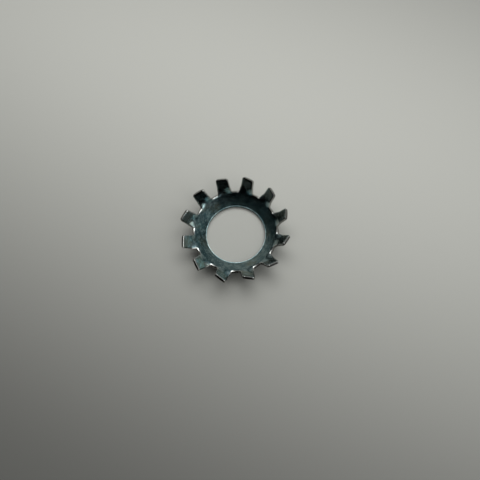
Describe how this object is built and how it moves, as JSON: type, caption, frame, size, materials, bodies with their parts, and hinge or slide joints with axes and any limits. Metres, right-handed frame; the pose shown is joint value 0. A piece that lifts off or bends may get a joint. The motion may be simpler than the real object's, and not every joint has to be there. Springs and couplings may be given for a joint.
{
  "type": "external-tooth countersunk lock washer",
  "caption": "Dished lock washer: a thin coned ring whose outward teeth are twisted, to grip under a countersunk screw head and stop it turning.",
  "frame": {"origin": "centre of the bore, in the plane of the small end that the washer lies on", "axes": "+Z along the bore axis, from the small end towards the teeth; the middle of one tooth is above +X"},
  "size_m": [0.0194, 0.0194, 0.0048],
  "materials": {
    "zinc_plate": "bright zinc plating with a cloudy blue passivation over thin spring steel"
  },
  "bodies": {
    "root": {"toothed_washer": "zinc_plate"}
  },
  "joints": []
}
